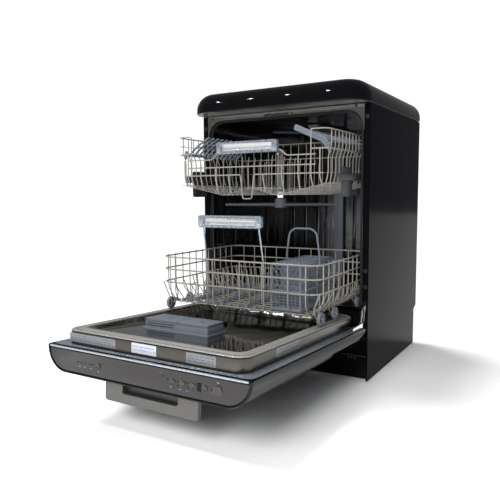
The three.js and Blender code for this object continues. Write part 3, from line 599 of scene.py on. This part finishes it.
def plates():
    """Blank data plates and stickers on the liner's edge and side."""
    low, high = extent("inner_door_panel", DOOR)
    edge, side = low.y, high.x
    rows = random.Random(4)
    sheets = [("plate", (-244, -92), (20, 41), 3, "ink"), ("white_plate", (-42, 31), (19, 42), 2, "blue_ink"),
              ("plate", (114, 191), (18, 41), 3, "ink")]
    for number, (finish, us, ns, lines, ink) in enumerate(sheets, 1):
        sheet = Shape()
        pad(sheet, "y", us, ns, (edge - 0.2, edge + 0.2), 1.5, 0.05)
        for line in range(lines):
            level = ns[0] + (ns[1] - ns[0]) * (line + 1) / (lines + 1)
            dashes(sheet, rows, "y", (us[0] + 5, us[1] - 8), (2, 7), (level - 0.9, level + 0.9),
                   (edge - 0.3, edge - 0.1))
        make(f"edge_plate_{number}", sheet, "door", "stainless", [finish, ink], DOOR)
    sheet = Shape()
    pad(sheet, "x", (-505, -385), (22, 43), (side - 0.2, side + 0.12), 1.5, 0.05)
    for level in (28, 36):
        dashes(sheet, rows, "x", (-500, -393), (3, 9), (level, level + 2), (side + 0.02, side + 0.2))
    make("edge_plate_4", sheet, "door", "stainless", ["plate", "ink"], DOOR)


# ---- Upper rack -----------------------------------------------------------------------------------
UPPER = {"half": 247, "front": -200, "back": 195, "rim": 739, "second": 687, "third": 638}
VALLEYS = [(-247, 596), (-85, 562), (0, 588), (85, 562), (247, 596)]


def valley(x):
    for (xa, za), (xb, zb) in zip(VALLEYS, VALLEYS[1:]):
        if x <= xb:
            return za + (zb - za) * (x - xa) / (xb - xa)
    return VALLEYS[-1][1]


def upper_rack():
    half, front, back, rim, second = (UPPER[k] for k in ("half", "front", "back", "rim", "second"))
    thick, thin = 1.9, 0.8
    rack = Shape()
    for z in (rim, second):
        wire(rack, [(-205, front, z), (-half, front, z), (-half, back, z), (half, back, z), (half, front, z),
                    (198, front, z)], thick, 24)
    wire(rack, [(-225, front + 4, 713), (-half, front + 4, 713), (-half, back, 713)], thin, 16)
    wire(rack, [(-half, back, 638), (half, back, 638)], thin)
    wire(rack, [(-212, front, 668), (-122, front, 668), (-100, front, 690), (106, front, 690),
                (124, front, 672), (212, front, 672)], thick, 8)
    wire(rack, [(-212, front - 1, 645), (212, front - 1, 645)], thick)
    wire(rack, [(-216, front, 622), (-24, front, 622), (-17, front, 553), (13, front, 553),
                (20, front, 622), (234, front, 622)], thick, 7)
    for y in evenly(front + 12, back - 2, 17):
        wire(rack, [(x, y, z) for x, z in VALLEYS], thin, 14)
    for x in evenly(-230, 230, 13):
        wire(rack, [(x, front + 12, valley(x) + 2.4), (x, back, valley(x) + 2.4)], thin)
    for y in evenly(front + 24, back, 15):
        for side in (-1, 1):
            wire(rack, [(side * half, y, rim), (side * half, y, 692), (side * 238, y, 668),
                        (side * 238, y, 622), (side * 231, y, valley(231) + 1)], 1.5, 9)
    for x in evenly(-210, 210, 15):
        wire(rack, [(x, back, rim), (x, back, 606), (x, back - 8, valley(x))], 1.4, 6)
    for x, top in ((-198, rim), (198, rim), (-224, 668), (-211, 690), (-165, 668), (-110, 645), (-65, 622),
                   (50, 622), (110, 645), (160, 672), (224, 687)):
        wire(rack, [(x, front, top), (x, front, 612), (x, front + 14, valley(x))], 1.8, 8)
    for x in (-130, -40, 60):
        for y in evenly(front + 34, back - 30, 10):
            wire(rack, [(x, y, valley(x)), (x, y, 655), (x + 3, y, 676)], 1.25, 8)
    make("upper_rack_wires", rack, "upper_rack", "coated_wire", replaces=["upper_rack"])
    feet = Shape()
    for x in (-130, -40, 60):
        for y in evenly(front + 34, back - 30, 5):
            pad(feet, "z", (x - 5, x + 5), (y - 7, y + 7), (valley(x) - 2, valley(x) + 8), 3, 1.2)
    make("upper_tine_clips", feet, "upper_rack", "grey_plastic")


def rack_handle(node, body, tag):
    """A moulded grip with a bright curved inset, standing on its wires."""
    low, high = extent(node, MACHINE)
    if tag == "lower":
        low = Vector((-100, -308, 474))
        high = Vector((104, -292, 508))
    grip = Shape()
    us, vs = (low.x, high.x), (high.z - 34, high.z)
    surround(grip, "y", (us, vs), ((low.x + 17, high.x - 17), (vs[0] + 7, vs[1] - 6)), (low.y, low.y + 14),
             (7, 4), 1.6, steps=8)
    pad(grip, "y", (low.x + 3, low.x + 15), (vs[0] + 3, vs[1] - 3), (low.y - 0.5, low.y + 13), 4, 1.4)
    pad(grip, "y", (high.x - 15, high.x - 3), (vs[0] + 3, vs[1] - 3), (low.y - 0.5, low.y + 13), 4, 1.4)
    make(f"{tag}_handle_grip", grip, body, "silver", replaces=[node])
    inset = Shape()
    middle = (vs[0] + vs[1]) / 2
    hollow = ((vs[0] + 6, 3.5), (vs[0] + 10, 7.0), (middle - 2, 9.0), (middle + 5, 8.0), (vs[1] - 5, 3.5))
    front_line = [(z, low.y + y) for z, y in hollow]
    rear_line = [(z, y + 2.0) for z, y in reversed(front_line)]
    loft(inset, [[(x, y, z) for z, y in front_line + rear_line] for x in evenly(low.x + 15, high.x - 15, 9)])
    make(f"{tag}_handle_inset", inset, body, "chrome", ["bright_inset"])


def left_shelf_blades():
    """Slanted blades on a hinge rod, tied by two thin rods."""
    shelf = Shape()
    first, last = -166, 108
    for x, z, radius in ((-236, 690, 3.2), (-197, 711, 2.0), (-163, 731, 1.6)):
        wire(shelf, [(x, first - 4, z), (x, last + 4, z)], radius, sides=12)
    for y in evenly(first, last, 12):
        start, end = Vector((-234, y, 685)), Vector((-154, y, 738))
        normal = Vector((start.z - end.z, 0, end.x - start.x)).normalized()
        rings = []
        for t in evenly(0, 1, 8):
            centre = start.lerp(end, t) + normal * (5 * math.sin(math.pi * t))
            deep = 5.5 * (1 - 0.35 * t ** 3)
            rings.append([centre + normal * v * deep + Vector((0, u * 2.1, 0))
                          for u, v in ((-1, -0.5), (1, -0.5), (1, 0.4), (0.5, 0.5), (-0.5, 0.5), (-1, 0.4))])
        loft(shelf, rings)
        wire(shelf, [(-160, y - 5, 735), (-160, y + 5, 735)], 2.4, sides=8)
    make("left_shelf_blades", shelf, "cup_shelf_left", "grey_plastic", replaces=["cup_shelf_left"], crease=40)


def cup_shelves():
    left_shelf_blades()
    arm = Shape()
    hinge, bend, free = (236, 690), (222, 712), (134, 751)
    for y in (-168, 148):
        path = [(hinge[0], y, hinge[1]), (bend[0], y, bend[1]), (free[0], y, free[1])]
        wire(arm, path, 8.0, 9, sides=10, squash=0.3)
    for (x, z), radius in ((hinge, 3.2), (bend, 2.4), (free, 3.0), ((178, 732), 1.8)):
        wire(arm, [(x, -166, z), (x, 146, z)], radius, sides=12)
    for y in evenly(-120, 116, 6):
        wire(arm, [(bend[0], y, bend[1]), (free[0], y, free[1])], 1.7, sides=8)
    for y in evenly(-150, 132, 13):
        wire(arm, [(bend[0], y, bend[1]), (224, y, 720), (220, y, 724), (215, y, 722)], 2.0, 3)
    make("right_shelf_arms", arm, "cup_shelf_right", "grey_plastic", replaces=["cup_shelf_right"], crease=40)
    elbow = Shape()
    for y in (-172, 156):
        wire(elbow, [(242, y, 676), (237, y, 692), (238, y, 704)], 4.5, 6, sides=10)
    for y in (-172, 114):
        wire(elbow, [(-243, y, 676), (-238, y, 690), (-239, y, 700)], 4.5, 6, sides=10)
    make("shelf_pivots", elbow, "upper_rack", "grey_plastic")


def height_adjusters():
    """The brackets that hang the upper rack on its rails."""
    for side, tag in SIDES:
        low, high = extent(f"rail_slide_{tag}", MACHINE)
        bracket = Shape()
        wall = sorted((side * 252.6, side * 256.8))
        pad(bracket, "x", (-118, -44), (558, 640), wall, 7, 0.8)
        pad(bracket, "x", (low.y, high.y), (603, 623), sorted((side * 256.6, side * 261.8)), 3, 0.8)
        pad(bracket, "x", (30, 190), (603.4, 622.6), sorted((side * 261, side * 267.6)), 3, 0.8)
        ribs = sorted((side * 250.6, side * 253.2))
        for y in evenly(-108, -54, 4):
            pad(bracket, "x", (y - 1.6, y + 1.6), (566, 632), ribs, 1, 0.4)
        for z in (574, 598, 626):
            pad(bracket, "x", (-114, -48), (z - 1.5, z + 1.5), ribs, 1, 0.4)
        make(f"rail_bracket_{tag}", bracket, "rail_slides", "grey_plastic", ["slate_plastic"],
             replaces=[f"rail_slide_{tag}"])


def spray_blade(shape, x, y, low, high, reach, width, angle):
    """Two tapering, crowned blades about a hub, with nozzles."""
    turn = Matrix.Rotation(math.radians(angle), 4, "Z")
    centre = Vector((x, y, 0))
    for half_turn in (0, math.pi):
        spin = turn @ Matrix.Rotation(half_turn, 4, "Z")
        rings = []
        for t in evenly(0, 1, 10):
            wide = width * (0.52 - 0.28 * t ** 2)
            thick = (high - low) / 2 * (1 - 0.45 * t ** 3)
            middle = (low + high) / 2
            section = [(math.cos(a), math.sin(a)) for a in [2 * math.pi * k / 16 for k in range(16)]]
            rings.append([centre + spin @ Vector((reach * t, u * wide, middle + v * thick))
                          for u, v in section])
        loft(shape, rings)
        for t in (0.3, 0.5, 0.68, 0.84, 0.93):
            spot = centre + spin @ Vector((reach * t, 0, 0))
            turned(shape, "z", (spot.x, spot.y), [(3.6, high - 3), (3.2, high - 0.5), (1.6, high - 0.2)], 10)


def spray_arms():
    sets = (("lower_spray_arm", 205, 46, 12, 262, (222, 233)),
            ("ceiling_spray_arm", 150, 34, 40, 262, (776, 786)),
            ("middle_spray_arm", 185, 40, 14, 4, (527, 538)))
    for node, reach, width, angle, y, (low, high) in sets:
        box_low, box_high = extent(node, MACHINE)
        arm = Shape()
        spray_blade(arm, 0, y, low, high, reach - 1, width, angle)
        turned(arm, "z", (0, y), [(14, box_low.z), (19.5, box_low.z + 2), (20, low), (20, high),
                                  (17, box_high.z - 1), (15, box_high.z)], 28)
        make(node + "_blades", arm, node, "pale_plastic", replaces=[node])
    feed = Shape()
    column = [(12, 553.5), (13, 556), (13, 575), (22, 582), (22, 586), (12, 590), (11, 600), (11, 640),
              (14, 644), (14, 690), (17, 694), (17, 704), (8, 712), (0.5, 713)]
    turned(feed, "z", (0, 4), column, 24)
    make("middle_feed_column", feed, "upper_rack", "chrome")


# ---- Lower rack -----------------------------------------------------------------------------------
LOWER = {"half": 257, "front": -282, "back": 140, "floor": 246, "corner": 35}


def lower_rack():
    half, front, back, floor = (LOWER[k] for k in ("half", "front", "back", "floor"))
    hoops = (305, 344, 381)
    rack = Shape()
    for z in hoops:
        wire(rack, [(x, y, z) for x, y in rounded((-half, half), (front, back), [LOWER["corner"]] * 4, 5)],
             2.3, 2, cyclic=True, sides=9)
    for y in evenly(front + 22, back - 22, 15):
        wire(rack, [(-228, y, floor), (228, y, floor)], 1.6)
    for x in (-228, -205, -182, -160, -137, -114, -92, -70, -47, -25, -3, 20, 44, 68, 92, 140, 164, 186, 208,
              228):
        wire(rack, [(x, front + 22, floor - 2.4), (x, back - 22, floor - 2.4)], 1.6)
    for y in evenly(front + 34, back - 30, 11):
        for side in (-1, 1):
            path = [(side * half, y, hoops[-1] + 4), (side * half, y, floor + 34), (side * 228, y, floor)]
            wire(rack, path, 1.7, 12)
    for x in (-222, -204, -150, -70, 20, 92, 170, 222):
        wire(rack, [(x, front, hoops[-1] + (3 if abs(x) > 200 else 0)), (x, front, floor + 24),
                    (x, front + 22, floor)], 1.7, 12)
    for x in evenly(-222, 222, 11):
        wire(rack, [(x, back, hoops[-1]), (x, back, floor + 24), (x, back - 22, floor)], 1.6, 12)
    for x in (-160, -70, 20):
        for y in evenly(front + 52, back - 34, 13):
            wire(rack, [(x, y, floor + 3), (x + 2, y, floor + 40), (x - 2, y, floor + 84)], 1.6, 20)
    for x in (140, 186):
        for y in evenly(-10, back - 30, 5):
            wire(rack, [(x, y, floor), (x + 2, y, floor + 78)], 1.6)
    for x in (-200, 228):
        for y in evenly(front + 90, back - 60, 5):
            wire(rack, [(x, y - 16, floor), (x, y - 14, floor + 46), (x, y + 14, floor + 46),
                        (x, y + 16, floor)], 1.6, 8)
    make("lower_rack_wires", rack, "lower_rack", "coated_wire", replaces=["lower_rack"])
    supports = Shape()
    for x in (-160, -70, 20):
        wire(supports, [(x, front + 40, floor + 6), (x, back - 26, floor + 6)], 3.4, sides=10)
        for y in evenly(front + 52, back - 34, 13):
            pad(supports, "z", (x - 6, x + 6), (y - 5, y + 5), (floor + 1, floor + 13), 2.5, 1.2, steps=3)
            wire(supports, [(x + 5, y, floor + 9), (x + 15, y + 9, floor + 2.5)], 2.0, sides=7)
            wire(supports, [(x - 5, y, floor + 9), (x - 15, y - 9, floor + 2.5)], 2.0, sides=7)
    for y in (front + 26, -96, back - 22):
        for x in evenly(-222, 82, 12):
            pad(supports, "z", (x - 6, x + 6), (y - 4, y + 4), (floor + 0.8, floor + 9), 2.5, 1.2, steps=3)
    make("tine_supports", supports, "lower_rack", "grey_plastic")


def wheel(shape, x, y, z, radius, width):
    """A wheel with a rim, five spokes and a hub, on the X axis."""
    ends = (x - width / 2, x + width / 2)
    turned(shape, "x", (y, z), [(radius - 3.6, ends[0] + 1), (radius - 1, ends[0]), (radius, ends[0] + 1.2),
                                (radius, ends[1] - 1.2), (radius - 1, ends[1]), (radius - 3.6, ends[1] - 1),
                                (radius - 4.2, x), (radius - 4.4, x - 0.4)], 36)
    turned(shape, "x", (y, z), [(3, ends[0] - 1.8), (5, ends[0] - 1.2), (5.4, x), (5, ends[1] + 1.2),
                                (3, ends[1] + 1.8)], 20)
    for k in range(5):
        angle = 2 * math.pi * k / 5 + 0.3
        reach = radius - 3
        for face in (ends[0] + 1.0, ends[1] - 1.0):
            wire(shape, [(face, y + 4 * math.cos(angle), z + 4 * math.sin(angle)),
                         (face, y + reach * math.cos(angle), z + reach * math.sin(angle))], 2.0, sides=8)


def wheels():
    for label in ("left", "right"):
        for end, body in (("front", "wheel_carriage"), ("rear", f"rear_wheel_{label}")):
            node = f"{end}_wheel_{label}"
            low, high = extent(node, MACHINE)
            centre = (low + high) / 2
            shape = Shape()
            wheel(shape, centre.x, centre.y, centre.z, (high.z - low.z) / 2, 10)
            make(f"{end}_roller_{label}", shape, body, "grey_plastic", replaces=[node])
    for side, label in SIDES:
        shape = Shape()
        for y in (-152, 30):
            wheel(shape, side * 250, y, 236.4, 16.5, 9)
        make(f"middle_rollers_{label}", shape, "lower_rack", "grey_plastic")
        frames = Shape()
        x = side * 239
        for y in (-247, -152, 30, 106):
            wire(frames, [(side * 257, y - 26, 305), (x, y - 22, 262), (x, y - 6, 236), (x, y + 6, 236),
                          (x, y + 22, 262), (side * 257, y + 26, 305)], 1.9, 9)
            wire(frames, [(x, y, 236), (side * 249, y, 236)], 2.4)
        make(f"roller_frames_{label}", frames, "lower_rack", "coated_wire")


def cutlery_basket():
    low, high = extent("cutlery_basket", MACHINE)
    basket = Shape()
    band, bars = 3.2, 0.8
    split = low.z + 0.42 * (high.z - low.z)
    for z0, z1 in ((low.z, low.z + 9), (split - 2, split + 3), (high.z - 7, high.z)):
        surround(basket, "z", ((low.x, high.x), (low.y, high.y)),
                 ((low.x + band, high.x - band), (low.y + band, high.y - band)),
                 (z0, z1), (5, 3), 0.7, steps=3)
    for x in (low.x + 2.2, high.x - 2.2):
        for y in [low.y + 2.2, (low.y + high.y) / 2, high.y - 2.2]:
            wire(basket, [(x, y, low.z + 3), (x, y, high.z - 3)], 2.6, sides=8)
    walls = [("x", value, low.y + 4, high.y - 4) for value in (low.x + 1.8, high.x - 1.8)]
    walls += [("y", value, low.x + 4, high.x - 4) for value in (low.y + 1.8, high.y - 1.8)]

    def spot(axis, value, along, z):
        return (value, along, z) if axis == "x" else (along, value, z)

    for axis, value, start, end in walls:
        count = max(int((end - start) / 9.5), 4)
        for along in evenly(start, end, count):
            rod = [spot(axis, value, along, low.z + 4), spot(axis, value, along, split)]
            wire(basket, rod, bars, sides=6)
        for z in evenly(low.z + 14, split - 8, 5):
            wire(basket, [spot(axis, value, start, z), spot(axis, value, end, z)], bars, sides=6)
        tall = high.z - 5 - split
        for along in evenly(start, end, count // 2 + 2):
            for lean in (-1, 1):
                far = along + lean * 0.75 * tall
                reach = min(max(far, start), end)
                share = (reach - along) / (far - along) if abs(far - along) > 1e-6 else 1
                if share > 0.15:
                    rod = [spot(axis, value, along, split), spot(axis, value, reach, split + tall * share)]
                    wire(basket, rod, bars, sides=6)
        for z in evenly(split + 14, high.z - 14, 3):
            wire(basket, [spot(axis, value, start, z), spot(axis, value, end, z)], bars, sides=6)
    for x in evenly(low.x + 8, high.x - 8, 8):
        wire(basket, [(x, low.y + 3, low.z + 2.5), (x, high.y - 3, low.z + 2.5)], 1.3, sides=6)
    for y in evenly(low.y + 8, high.y - 8, 18):
        wire(basket, [(low.x + 3, y, low.z + 2.5), (high.x - 3, y, low.z + 2.5)], 1.3, sides=6)
    middle = (low.y + high.y) / 2
    for y in (middle - 56, middle, middle + 56):
        pad(basket, "y", (low.x + 3, high.x - 3), (low.z + 6, high.z - 3), (y - 1, y + 1), 2, 0.4, steps=3)
    cover = (high.z - 3.5, high.z - 0.6)
    for x in evenly(low.x + 13, high.x - 13, 4):
        pad(basket, "z", (x - 1.3, x + 1.3), (low.y + 3, high.y - 3), cover, 0.5, 0.3, steps=2)
    for y in evenly(low.y + 14, high.y - 14, 10):
        pad(basket, "z", (low.x + 3, high.x - 3), (y - 1.3, y + 1.3), cover, 0.5, 0.3, steps=2)
    make("cutlery_basket_lattice", basket, "lower_rack", "grey_plastic", replaces=["cutlery_basket"],
         crease=40)
    lo, hi = extent("basket_handle", MACHINE)
    y = (lo.y + hi.y) / 2
    bail = Shape()
    points = [(lo.x + 2.5, 366), (lo.x + 2.5, 396), (lo.x + 11, 456), (lo.x + 27, 468.4),
              (hi.x - 27, 468.4), (hi.x - 11, 456), (hi.x - 2.5, 396), (hi.x - 2.5, 366)]
    wire(bail, [(x, y, z) for x, z in points], 2.7, 10, sides=12)
    make("basket_bail", bail, "basket_handle", "grey_plastic", replaces=["basket_handle"])


def lower_handle():
    rack_handle("lower_rack_handle", "lower_rack", "lower")
    legs = Shape()
    for x in (-88, 92):
        foot = x - 6 if x < 0 else x
        wire(legs, [(foot, -274, 250), (foot, -274, 380), (x, -298, 478)], 2.2, 14, sides=10)
    make("lower_handle_legs", legs, "lower_rack", "silver")


# ---- Hinges, pumps and other fittings --------------------------------------------------------------
def hinge_details():
    for side, label in SIDES:
        guard = Shape()
        x0, x1 = sorted((side * 286.3, side * 288))
        turned(guard, "x", ((PIVOT.y - FRONT) * 1000, PIVOT.z * 1000),
               [(4.2, x0), (6.5, x0 + 0.3), (6.5, x1 - 0.3), (4.2, x1)], 20)
        make(f"hinge_washer_{label}", guard, "cabinet", "chrome")
        spring = Shape()
        arm = [(side * SPRING_LINE, -12, 30), (side * SPRING_LINE, -4, 62), (side * SPRING_LINE, 14, 76)]
        wire(spring, arm, 2.4, 8, sides=10)
        arm = [(side * SPRING_LINE, -70, 17), (side * SPRING_LINE, -22, 22), (side * SPRING_LINE, -12, 34)]
        wire(spring, arm, 2.0, 8, sides=10)
        make(f"hinge_link_{label}", spring, "door", "chrome", space=DOOR)


def pump_details():
    low, high = extent("circulation_pump", MACHINE)
    fins = Shape()
    centre = ((low.y + high.y) / 2, (low.z + high.z) / 2)
    for x in evenly(high.x - 78, high.x - 12, 8):
        turned(fins, "x", centre, [(43.6, x - 1.2), (46, x - 0.8), (46, x + 0.8), (43.6, x + 1.2)], 28)
    make("pump_fins", fins, "cabinet", "zinc_steel")
    low, high = extent("water_tank", MACHINE)
    ribs = Shape()
    for y in evenly(low.y + 40, high.y - 40, 6):
        pad(ribs, "x", (y - 5, y + 5), (low.z + 40, high.z - 40), (high.x - 0.6, high.x + 1.2), 4, 0.8)
    make("tank_ribs", ribs, "cabinet", "pale_plastic")


# ---- Studio ---------------------------------------------------------------------------------------
def aim(thing, target, roll=0.0):
    direction = Vector(target) - thing.location
    turn = direction.to_track_quat("-Z", "Y").to_matrix() @ Matrix.Rotation(math.radians(roll), 3, "Z")
    thing.rotation_euler = turn.to_euler()


def camera():
    data = bpy.data.cameras.new("camera")
    data.lens, data.sensor_width = 40.44, 36
    view = bpy.data.objects.new("camera", data)
    bpy.context.scene.collection.objects.link(view)
    view.location = (0.8359, -1.8678, 0.5653)
    azimuth, elevation = math.radians(30.803), math.radians(5.647)
    ahead = Vector((-math.sin(azimuth) * math.cos(elevation), math.cos(azimuth) * math.cos(elevation),
                    -math.sin(elevation)))
    aim(view, view.location + ahead, -0.368)
    bpy.context.scene.camera = view


def lamp(name, place, target, size, power, mirrored=True):
    data = bpy.data.lights.new(name, "AREA")
    data.shape, data.size, data.energy = "DISK", size, power
    light = bpy.data.objects.new(name, data)
    light.location = place
    light.visible_glossy = mirrored
    bpy.context.scene.collection.objects.link(light)
    aim(light, target)


def studio():
    floor = bpy.data.meshes.new("floor")
    reach = 14.0
    floor.from_pydata([(-reach, -reach, 0), (reach, -reach, 0), (reach, reach, 0), (-reach, reach, 0)], [],
                      [(0, 1, 2, 3)])
    floor.materials.append(surface("pale_floor", (0.95, 0.95, 0.95), 0.9, shade=0.01, gloss=0.02, relief=0.02,
                                   specular=0.1))
    ground = bpy.data.objects.new("floor", floor)
    bpy.context.scene.collection.objects.link(ground)
    world = bpy.data.worlds.new("studio")
    bpy.context.scene.world = world
    world.use_nodes = True
    tree = world.node_tree
    tree.nodes.clear()
    seen, lit = tree.nodes.new("ShaderNodeBackground"), tree.nodes.new("ShaderNodeBackground")
    seen.inputs["Strength"].default_value = 1.05
    seen.inputs["Color"].default_value = (1, 1, 1, 1)
    lit.inputs["Color"].default_value = (0.93, 0.96, 1, 1)
    lit.inputs["Strength"].default_value = 0.2
    path, mix = tree.nodes.new("ShaderNodeLightPath"), tree.nodes.new("ShaderNodeMixShader")
    out = tree.nodes.new("ShaderNodeOutputWorld")
    tree.links.new(path.outputs["Is Camera Ray"], mix.inputs["Fac"])
    tree.links.new(lit.outputs["Background"], mix.inputs[1])
    tree.links.new(seen.outputs["Background"], mix.inputs[2])
    tree.links.new(mix.outputs["Shader"], out.inputs["Surface"])
    sky = bpy.data.lights.new("key", "SUN")
    sky.energy, sky.angle = 3.2, math.radians(24)
    key = bpy.data.objects.new("key", sky)
    key.location = (-1.35, 0.35, 3.0)
    key.visible_glossy = False
    bpy.context.scene.collection.objects.link(key)
    aim(key, (0, 0, 0))
    lamp("front_fill", (0.4, -3.4, 2.0), (0, -0.2, 0.5), 1.6, 95, mirrored=False)
    lamp("cavity_fill", (0.5, -2.2, 0.9), (0, 0.1, 0.5), 0.8, 14, mirrored=False)
    for number, x in enumerate(evenly(-2.2, 1.4, 9), 1):
        lamp(f"spot_{number}", (x, -2.2, 3.0), (0, -0.3, 0.6), 0.035, 3.0)
    bpy.context.scene.view_settings.view_transform = "Standard"


camera()
dress_cad_nodes()
casing()
tub_details()
door_shell()
fascia()
door_controls()
door_handle()
inner_panel()
dispenser()
plates()
upper_rack()
rack_handle("upper_rack_handle", "upper_rack", "upper")
cup_shelves()
height_adjusters()
spray_arms()
lower_rack()
wheels()
cutlery_basket()
lower_handle()
hinge_details()
pump_details()
studio()
